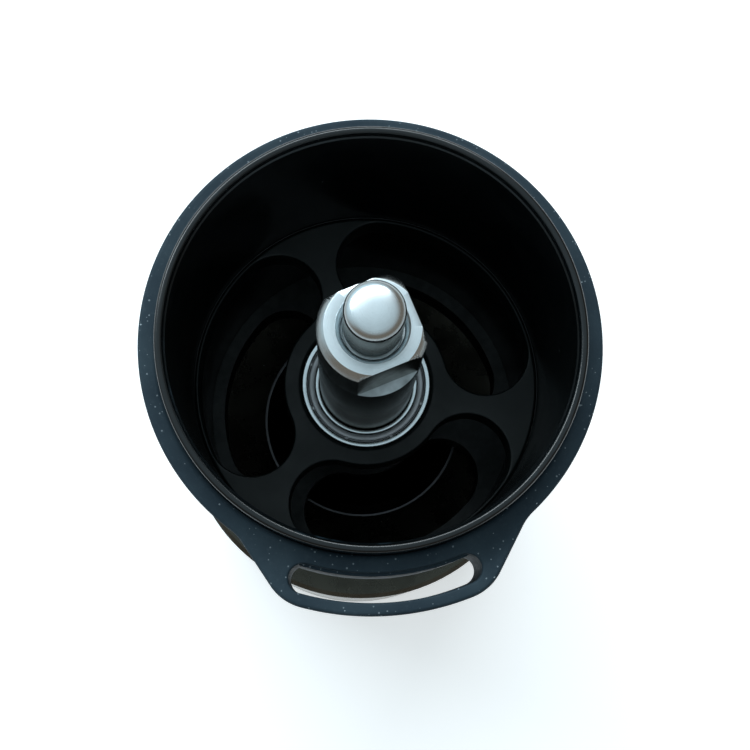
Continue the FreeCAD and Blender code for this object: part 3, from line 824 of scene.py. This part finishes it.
FINISHES = {
    Slot.TUBE: Anodised("tube_black", (0.0012, 0.0022, 0.0027, 1.0), (0.018, 0.031, 0.04, 1.0), 0.19),
    Slot.BAND: Rubber("band_rubber"),
    Slot.WEB: Anodised("web_black", (0.0022, 0.0046, 0.0045, 1.0), (0.03, 0.036, 0.036, 1.0), 0.42,
                       specular=0.32, turning=0.001 * MM),
    Slot.BEARING: Steel("bearing_steel", (0.68, 0.73, 0.75, 1.0), (0.36, 0.38, 0.39, 1.0), 0.1, 0.14,
                        0.0003 * MM),
    Slot.CAGE: Steel("cage_brass", (0.72, 0.53, 0.26, 1.0), (0.45, 0.33, 0.16, 1.0), 0.3),
    # Painted shade: below 144.8 mm the shaft steel is darkened to stand for the shade and dark reflections
    # under the drive head.
    Slot.SHAFT: Steel("shaft_steel", (0.74, 0.79, 0.81, 1.0), shade_below=144.8 * MM,
                      # Painted reflection: the shaft's grazing reflections are tinted dark and warm.
                      grazing_shade_tint=(0.34, 0.33, 0.31, 1.0)),
    Slot.SPRING: Steel("spring_steel", (0.4, 0.4, 0.41, 1.0), (0.25, 0.25, 0.25, 1.0), 0.3),
    Slot.MAGNET: Steel("magnet_nickel", (0.74, 0.72, 0.67, 1.0), (0.55, 0.53, 0.5, 1.0), 0.15),
    Slot.BURR: Steel("burr_steel", (0.1, 0.1, 0.105, 1.0), (0.06, 0.06, 0.062, 1.0), 0.28, marks=0.002 * MM),
    Slot.SCREW: Steel("screw_steel", (0.6, 0.61, 0.62, 1.0), roughness=0.22),
    Slot.DIAL: Anodised("dial_metal", (0.55, 0.56, 0.57, 1.0), (0.75, 0.75, 0.76, 1.0), 0.32, 1.0,
                        turning=0.001 * MM),
    Slot.CUP: Anodised("cup_metal", (0.088, 0.082, 0.066, 1.0), (0.13, 0.12, 0.1, 1.0), 0.26, 1.0,
                       turning=0.001 * MM),
    Slot.PAD: Rubber("pad_rubber", (0.02, 0.022, 0.024, 1.0), (0.03, 0.033, 0.036, 1.0), dust_share=0.1),
}


@dataclass
class Workshop:
    """Hands out materials and puts finished pieces in their places."""

    materials: dict[Slot, bpy.types.Material] = field(default_factory=dict)

    def paint(self, piece: Piece, slot: Slot) -> None:
        """Gives a piece or a node its finish."""
        if slot not in self.materials:
            self.materials[slot] = FINISHES[slot].make()
        piece.data.materials.clear()
        piece.data.materials.append(self.materials[slot])

    def fit(self, piece: Piece, body: str, slot: Slot, node: str, crisp: float = CRISP_EDGE) -> None:
        """Dresses a piece, lets it ride on its body and hides the node that it stands for.

        Args:
            piece: The piece.
            body: The body that it moves with.
            slot: Its finish.
            node: The CAD node that it replaces.
            crisp: Angle between faces above which an edge stays crisp, in degrees.
        """
        flatten_shading(piece, crisp)
        self.paint(piece, slot)
        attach(piece, body)
        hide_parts(node)
        LOG.info("%s rides on %s and stands for %s", piece.name, body, node)

    def paint_nodes(self, frame: dict) -> None:
        """Gives every CAD node that is still shown the finish of its own slot."""
        slots = {entry["node"]: entry["material_slot"] for entry in frame["record"]["subparts"]}
        for name, node in frame["nodes"].items():
            if not node.hide_render:
                self.paint(node, Slot(slots[name]))
                LOG.info("%s keeps its CAD shape", name)


# ---------------------------------------------------------------------------- the housing


@dataclass
class Housing:
    """The tube and what is fixed in it: the upper bearing web and the upper bearing's outer ring and shields.
    """

    shop: Workshop
    wall: float = 1.4 * MM
    seat_width: float = 0.25 * MM
    seat_depth: float = 1.2 * MM
    crest: float = 0.5 * MM
    rim_round: float = 0.6 * MM
    groove_depth: float = 0.35 * MM
    groove_height: float = 0.5 * MM
    opening_direction: float = 46.0
    opening_inner: float = 13.4 * MM
    opening_outer: float = 27.2 * MM
    opening_half_angle: float = 34.75
    opening_edge: float = 0.35 * MM
    web_edge: float = 0.45 * MM
    pocket_chamfer: float = 0.6 * MM
    lip: float = 1.0 * MM
    ring_wall: float = 0.85 * MM
    ring_edge: float = 0.25 * MM
    race_inset: float = 0.3 * MM
    race_start: float = 1.2 * MM
    race_full: float = 1.4 * MM
    shield_gap: float = 0.15 * MM
    notches: int = 8
    first_notch: float = 22.0
    notch_half: Vector = field(default_factory=lambda: Vector((0.3, 0.22, 0.25)) * MM)
    notch_depth: float = 0.35 * MM

    def build(self) -> None:
        """Builds the tube, the upper web and the upper bearing's outer ring and shields."""
        self.tube()
        self.web()
        self.bearing()

    def tube(self) -> None:
        """Turns the tube, with the lid's seat inside its rounded rim."""
        low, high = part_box("body_tube")
        web_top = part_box("upper_spider")[1].z
        outer = high.x
        bore = outer - self.wall
        seat = bore + self.seat_width
        groove = bore + self.groove_depth
        groove_top = web_top + self.groove_height
        piece = lathe("tube_shell", [
            Corner(bore, low.z, 0.1 * MM),
            Corner(outer, low.z, 0.2 * MM),
            Corner(outer, high.z, self.rim_round, 10),
            Corner(seat, high.z, self.crest, 6),
            Corner(seat, high.z - self.seat_depth, 0.1 * MM),
            Corner(bore, high.z - self.seat_depth - self.seat_width, 0.1 * MM),
            Corner(bore, groove_top, 0.08 * MM),
            Corner(groove, groove_top),
            Corner(groove, web_top),
            Corner(bore, web_top, 0.08 * MM),
        ], FINE_SEGMENTS)
        self.shop.fit(piece, "housing", Slot.TUBE, "body_tube")

    def web(self) -> None:
        """Cuts the three bean openings and the bearing pocket in the upper web."""
        low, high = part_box("upper_spider")
        ring_low, ring_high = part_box("upper_bearing_outer_ring")
        pocket = ring_high.x + SLACK
        loops = [Loop(circle_points(high.x), self.web_edge, 0.15 * MM)]
        for arm in range(3):
            outline = arc_slot_points(self.opening_inner, self.opening_outer, self.opening_half_angle,
                                      self.opening_direction + 120 * arm, 0.5 * MM)
            loops.append(Loop(outline, self.opening_edge, self.opening_edge, True))
        loops.append(Loop(circle_points(pocket), self.pocket_chamfer, 0.1 * MM, True))
        piece = slab("bearing_web", loops, low.z, high.z)
        ledge = lathe("ledge", [
            Corner(pocket - self.lip, low.z),
            Corner(pocket + self.lip / 2, low.z),
            Corner(pocket + self.lip / 2, ring_low.z),
            Corner(pocket - self.lip, ring_low.z),
        ])
        carve(piece, [ledge], Carve.JOIN)
        self.shop.fit(piece, "housing", Slot.WEB, "upper_spider")

    def bearing(self) -> None:
        """Turns the upper bearing's outer ring and its two crimped shields."""
        low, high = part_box("upper_bearing_outer_ring")
        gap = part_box("upper_bearing_inner_ring")[1].x + self.shield_gap
        inside = high.x - self.ring_wall
        race = inside + self.race_inset
        ring = lathe("bearing_outer_ring", [
            Corner(inside, low.z, 0.1 * MM),
            Corner(high.x, low.z, self.ring_edge),
            Corner(high.x, high.z, self.ring_edge),
            Corner(inside, high.z, 0.1 * MM),
            Corner(inside, high.z - self.race_start),
            Corner(race, high.z - self.race_full, self.race_inset),
            Corner(race, low.z + self.race_full, self.race_inset),
            Corner(inside, low.z + self.race_start),
        ])
        self.shop.fit(ring, "housing", Slot.BEARING, "upper_bearing_outer_ring")
        bead = inside - SLACK
        flat = bead - 0.5 * MM
        profile = [
            (bead, 0.75), (bead, 0.3), (bead - 0.14 * MM, 0.22), (bead - 0.28 * MM, 0.3),
            (bead - 0.36 * MM, 0.5), (flat, 0.42), (gap, 0.42), (gap, 0.7), (flat, 0.75),
        ]
        middle = Vector((bead, 0.0, 0.0))
        for name, face, down in (("shield_top", high.z, 1), ("shield_foot", low.z, -1)):
            corners = [Corner(radius, face - down * depth * MM, 0.05 * MM, 2) for radius, depth in profile]
            shield = lathe(name, corners)
            middle.z = face - down * self.notch_depth
            cutters = []
            for index in range(self.notches):
                angle = self.first_notch + 360 / self.notches * index
                cutters.append(block("notch", middle - self.notch_half, middle + self.notch_half, angle))
            carve(shield, cutters, Carve.CUT)
            self.shop.fit(shield, "housing", Slot.BEARING, "upper_bearing_shields")
            # The shields are thin pressed sheet, duller than the ground rings; the darker finish also paints
            # the shade and dark reflections of their recessed faces.
            self.shop.paint(shield, Slot.SPRING)


@dataclass
class GripBand:
    """Rubber band round the tube, with the ear and slot that store the crank."""

    shop: Workshop
    edge: float = 0.6 * MM
    slot_edge: float = 0.35 * MM
    loop_height: float = 12.0 * MM
    loop_r: float = 37.4 * MM
    root: Vector = field(default_factory=lambda: Vector((24.1, 20.4)) * MM)
    corner: Vector = field(default_factory=lambda: Vector((34.6, 14.2)) * MM)
    root_round: float = 7.0 * MM
    corner_round: float = 7.0 * MM
    slot_inner: float = 31.65 * MM
    slot_outer: float = 35.6 * MM
    slot_half_angle: float = 22.5
    step: float = 0.6 * MM
    slot_step: float = 0.3 * MM
    foot_edge: float = 0.3 * MM
    mouth_edge: float = 0.9 * MM
    skirt_inset: float = 0.04 * MM
    overlap: float = 2 * MM

    def outline(self, band_r: float) -> list[Vector]:
        """Outer outline of band and ear, with the ear towards +X.

        Args:
            band_r: The band's own radius.

        Returns:
            The outline, anticlockwise.
        """
        along = (self.corner - self.root).normalized()
        across = Vector((-along.y, along.x))
        offset = across.dot(self.root)

        def centre(reach: float, distance: float) -> Vector:
            """Returns the centre of an arc that touches the flank."""
            return across * reach + along * math.sqrt(distance ** 2 - reach ** 2)

        hollow = centre(offset + self.root_round, band_r + self.root_round)
        bulge = centre(offset - self.corner_round, self.loop_r - self.corner_round)
        flank = heading(across)
        hollow_angle = heading(hollow)
        bulge_angle = heading(bulge)
        here = Vector((0.0, 0.0))
        upper = arc_points(bulge, self.corner_round, bulge_angle, flank, self.step)
        flank_start = upper[-1]
        root_arc = arc_points(hollow, self.root_round, flank - 180, hollow_angle - 180, self.step)
        count = math.ceil((root_arc[0] - flank_start).length / self.step)
        upper += [flank_start.lerp(root_arc[0], index / count) for index in range(1, count)]
        upper += root_arc
        back = arc_points(here, band_r, hollow_angle, 360 - hollow_angle, self.step)[1:-1]
        lower = [Vector((p.x, -p.y)) for p in reversed(upper)]
        nose = arc_points(here, self.loop_r, -bulge_angle, bulge_angle, self.step)[1:-1]
        return upper + back + lower + nose

    def build(self) -> None:
        """Builds the band."""
        low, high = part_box("handle_band")
        band_r = high.x
        tube_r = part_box("body_tube")[1].x + SLACK
        turn = Matrix.Rotation(math.radians(-90), 2)
        outer = tuple(turn @ p for p in self.outline(band_r))
        width = (self.slot_outer - self.slot_inner) / 2
        end_angle = math.degrees(2 * width / (self.slot_outer + self.slot_inner))
        half_angle = self.slot_half_angle - end_angle
        slot = arc_slot_points(self.slot_inner, self.slot_outer, half_angle, -90.0, self.slot_step)
        loop_foot = high.z - self.loop_height
        piece = slab("grip_band", [
            Loop(outer, self.edge, self.foot_edge),
            Loop(circle_points(tube_r), self.mouth_edge, 0.02 * MM, True),
            Loop(slot, self.slot_edge, self.slot_edge, True),
        ], loop_foot, high.z)
        skirt = lathe("skirt", [
            Corner(tube_r + SLACK, low.z, 0.2 * MM),
            Corner(band_r - self.skirt_inset, low.z, self.edge, 5),
            Corner(band_r - self.skirt_inset, high.z - self.overlap),
            Corner(tube_r + SLACK, high.z - self.overlap),
        ])
        carve(piece, [skirt], Carve.JOIN)
        self.shop.fit(piece, "housing", Slot.BAND, "handle_band", crisp=50.0)


# ---------------------------------------------------------------------------- the shaft


@dataclass
class Shaft:
    """What turns with the crank and shows from above: sleeve, spindle and the bearing's inner ring."""

    shop: Workshop
    flat_distance: float = 6.0 * MM
    flat_height: float = 11.5 * MM
    flat_angles: tuple[float, ...] = (109.0, 19.0, -71.0)
    chamfer_width: float = 1.0 * MM
    chamfer_height: float = 1.05 * MM
    sink_r: float = 5.0 * MM
    bore_r: float = 4.3 * MM
    bore_depth: float = 3.0 * MM
    groove_r: float = 3.6 * MM
    dome_height: float = 2.1 * MM
    dome_fullness: float = 2.5
    dome_steps: int = 24
    edge: float = 0.09 * MM
    ring_wall: float = 0.73 * MM
    race_start: float = 1.3 * MM
    race_height: float = 2.0 * MM
    race_depth: float = 0.25 * MM
    foot_height: float = 1.2 * MM
    foot_taper: float = 0.35 * MM
    groove_over: float = 0.1 * MM

    def build(self) -> None:
        """Builds the shaft's pieces."""
        self.sleeve()
        self.spindle()
        self.inner_ring()

    def sleeve(self) -> None:
        """Turns the sleeve, then mills its three driving flats."""
        low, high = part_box("drive_sleeve")
        outer = high.x
        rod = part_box("spindle")[1].x
        piece = lathe("drive_head", [
            Corner(rod + SLACK, low.z),
            Corner(outer, low.z, 0.2 * MM),
            Corner(outer, high.z - self.chamfer_height, 0.06 * MM, 2),
            Corner(outer - self.chamfer_width, high.z, 0.08 * MM, 3),
            Corner(self.sink_r, high.z, 0.06 * MM, 2),
            Corner(self.bore_r, high.z - (self.sink_r - self.bore_r), 0.05 * MM, 2),
            Corner(self.bore_r, high.z - self.bore_depth),
            Corner(rod + SLACK, high.z - self.bore_depth),
        ], FINE_SEGMENTS)
        ledge = high.z - self.flat_height
        start = Vector((self.flat_distance, -outer, ledge))
        end = Vector((2 * outer, outer, high.z + outer))
        carve(piece, [block("waste", start, end, angle) for angle in self.flat_angles], Carve.CUT)
        ease_edges(piece, self.edge)
        self.shop.fit(piece, "shaft", Slot.SHAFT, "drive_sleeve", crisp=30.0)

    def spindle(self) -> None:
        """Turns the spindle, with a groove in the sleeve's mouth and a full dome on its tip."""
        low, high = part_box("spindle")
        radius = high.x
        base = high.z - self.dome_height
        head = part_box("drive_sleeve")[1].z
        corners = [
            Corner(0.0, low.z),
            Corner(radius - self.foot_taper, low.z, 0.1 * MM),
            Corner(radius, low.z + self.foot_height, 0.1 * MM),
            Corner(radius, head - self.bore_depth, 0.1 * MM),
            Corner(self.groove_r, head - self.bore_depth),
            Corner(self.groove_r, head + self.groove_over),
            Corner(radius, head + self.groove_over, 0.05 * MM, 2),
            Corner(radius, base),
        ]
        power = 2 / self.dome_fullness
        for index in range(1, self.dome_steps):
            angle = math.pi / 2 * index / self.dome_steps
            height = base + self.dome_height * math.sin(angle) ** power
            corners.append(Corner(radius * math.cos(angle) ** power, height))
        corners.append(Corner(0.0, high.z))
        piece = lathe("centring_tip", corners)
        self.shop.fit(piece, "shaft", Slot.SHAFT, "spindle", crisp=35.0)

    def inner_ring(self) -> None:
        """Turns the upper bearing's inner ring."""
        low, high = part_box("upper_bearing_inner_ring")
        inside = high.x - self.ring_wall
        piece = lathe("bearing_inner_ring", [
            Corner(inside, low.z, 0.1 * MM),
            Corner(high.x, low.z, 0.1 * MM),
            Corner(high.x, low.z + self.race_start),
            Corner(high.x - self.race_depth, low.z + self.race_height, 0.4 * MM),
            Corner(high.x, high.z - self.race_start),
            Corner(high.x, high.z, 0.1 * MM),
            Corner(inside, high.z, 0.18 * MM),
        ])
        self.shop.fit(piece, "shaft", Slot.BEARING, "upper_bearing_inner_ring")


# ---------------------------------------------------------------------------- the cup


@dataclass
class LowerBody:
    """The catch cup under the collar, and the soft pad under the cup."""

    shop: Workshop
    edge: float = 0.8 * MM
    cup_wall: float = 1.9 * MM
    mouth_wall: float = 5.5 * MM
    rim_height: float = 9.0 * MM
    floor: float = 2.3 * MM
    magnets: int = 8
    magnet_r: float = 1.5 * MM
    magnet_sink: float = 3.17 * MM
    ribs: int = 4
    rib_height: float = 0.3 * MM
    rib_foot: float = 1.2 * MM
    rib_crest: float = 0.8 * MM
    rib_round: float = 0.1 * MM
    border: float = 1.2 * MM

    def build(self) -> None:
        """Builds cup and pad."""
        self.cup()
        self.pad()

    def cup(self) -> None:
        """Turns the catch cup."""
        low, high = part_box("catch_cup")
        pad_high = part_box("base_pad")[1]
        outer = high.x
        inner = outer - self.cup_wall
        mouth = outer - self.mouth_wall
        ledge = high.z - self.rim_height
        floor_z = pad_high.z + SLACK
        inside = floor_z + self.floor
        recess = pad_high.x + SLACK
        piece = lathe("ground_coffee_cup", [
            Corner(0.0, floor_z),
            Corner(recess, floor_z),
            Corner(recess, low.z, 0.2 * MM),
            Corner(outer, low.z, self.edge, 5),
            Corner(outer, high.z, 0.35 * MM, 4),
            Corner(mouth, high.z, 0.35 * MM, 4),
            Corner(mouth, ledge, 0.3 * MM),
            Corner(inner, ledge - (inner - mouth), 1.0 * MM),
            Corner(inner, inside, 2.0 * MM, 6),
            Corner(0.0, inside),
        ], FINE_SEGMENTS)
        ring_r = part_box("cup_magnets")[1].x - self.magnet_r
        pockets = []
        for index in range(self.magnets):
            place = polar(ring_r, FULL_TURN * index / self.magnets)
            pockets.append(peg(place, self.magnet_r + SLACK, high.z - self.magnet_sink, high.z + 1 * MM))
        carve(piece, pockets, Carve.CUT)
        self.shop.fit(piece, "cup", Slot.CUP, "catch_cup")

    def pad(self) -> None:
        """Moulds the soft pad under the cup, with shallow rings in its underside."""
        low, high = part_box("base_pad")
        valley = low.z + self.rib_height
        foot = self.rib_foot
        crest = self.rib_crest
        rib = ((-foot, valley), (-crest, low.z), (crest, low.z), (foot, valley))
        corners = [Corner(0.0, high.z), Corner(0.0, valley)]
        for index in range(1, self.ribs + 1):
            middle = high.x * index / (self.ribs + 1)
            corners += [Corner(middle + offset, height, self.rib_round, 2) for offset, height in rib]
        corners += [
            Corner(high.x - self.border - (foot - crest), valley, self.rib_round, 2),
            Corner(high.x - self.border, low.z, self.rib_round, 2),
            Corner(high.x, low.z, 0.3 * MM),
            Corner(high.x, high.z, 0.1 * MM),
        ]
        piece = lathe("non_slip_pad", corners)
        self.shop.fit(piece, "cup", Slot.PAD, "base_pad")


# ---------------------------------------------------------------------------- studio


@dataclass
class Studio:
    """Floor, light and camera."""

    lens_mm: float = 66.2
    eye: Vector = field(default_factory=lambda: Vector((-0.0066, -0.0369, 0.331)))
    tilt: float = 10.0
    tilt_axis: float = -12.0
    roll: float = -3.3
    floor_size: float = 6.0
    bright_side: Vector = field(default_factory=lambda: Vector((-0.5, 0.65, 0.6)))
    bright: Colour = (0.66, 0.86, 0.96, 1.0)
    dim: Colour = (0.17, 0.15, 0.125, 1.0)
    window_place: Vector = field(default_factory=lambda: Vector((-0.2, 0.68, 0.8)))
    window_size: tuple[float, float] = (1.5, 0.24)
    window_watts: float = 10.5
    window_colour: tuple[float, float, float] = (0.86, 0.95, 1.0)
    aim: Vector = field(default_factory=lambda: Vector((0, 0, 0.12)))

    def build(self) -> None:
        """Sets up floor, sky, window and camera."""
        self.floor()
        self.sky()
        self.window()
        self.camera()

    def floor(self) -> None:
        """Lays the floor."""
        half = self.floor_size / 2
        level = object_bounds()[0][2]
        plan = ((-half, -half), (half, -half), (half, half), (-half, half))
        corners = [Vector((x, y, level)) for x, y in plan]
        floor = mesh_piece("floor", corners, [(0, 1, 2, 3)])
        floor.data.materials.append(Backdrop("floor_paper").make())
        floor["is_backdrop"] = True

    def sky(self) -> None:
        """Lights the room softly: bright overhead, behind and to the left, warm and dim elsewhere."""
        world = bpy.data.worlds.new("room")
        bpy.context.scene.world = world
        world.use_nodes = True
        room = Tree(world.node_tree)
        direction = room.add("TexCoord").outputs["Generated"]
        toward = room.add("VectorMath")
        toward.operation = "DOT_PRODUCT"
        toward.inputs[1].default_value = self.bright_side.normalized()
        room.join(direction, toward.inputs[0])
        side = room.ramp(toward.outputs["Value"], 0.1, 1.0)
        overhead = room.ramp(room.axes(direction)[2], 0.45, 0.85, 0.0, 0.72)
        colour = room.blend(room.math("MAXIMUM", side, overhead), self.dim, self.bright)
        room.join(colour, world.node_tree.nodes["Background"].inputs["Color"])

    def window(self) -> None:
        """Hangs one long soft lamp that faces the object."""
        data = bpy.data.lights.new("window", "AREA")
        data.shape = "RECTANGLE"
        data.size, data.size_y = self.window_size
        data.energy = self.window_watts
        data.color = self.window_colour
        lamp = bpy.data.objects.new("window", data)
        facing = (self.window_place - self.aim).to_track_quat("Z", "Y").to_matrix().to_4x4()
        lamp.matrix_world = Matrix.Translation(self.window_place) @ facing
        bpy.context.scene.collection.objects.link(lamp)

    def camera(self) -> None:
        """Sets the camera above the rim, looking down into the tube."""
        data = bpy.data.cameras.new("camera")
        data.lens = self.lens_mm
        data.clip_start = 0.005
        camera = bpy.data.objects.new("camera", data)
        axis = polar(1.0, math.radians(self.tilt_axis)).to_3d()
        tilt = Matrix.Rotation(math.radians(self.tilt), 4, axis)
        roll = Matrix.Rotation(math.radians(self.roll), 4, "Z")
        camera.matrix_world = Matrix.Translation(self.eye) @ tilt @ roll
        bpy.context.scene.collection.objects.link(camera)
        bpy.context.scene.camera = camera
        bpy.context.scene.view_settings.view_transform = "Standard"


def main() -> None:
    """Builds the looks round the frame."""
    logging.basicConfig(level=logging.INFO, format="%(name)s: %(message)s")
    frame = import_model()
    shop = Workshop()
    Studio().build()
    Housing(shop).build()
    GripBand(shop).build()
    Shaft(shop).build()
    LowerBody(shop).build()
    shop.paint_nodes(frame)


if __name__ == "__main__":
    main()
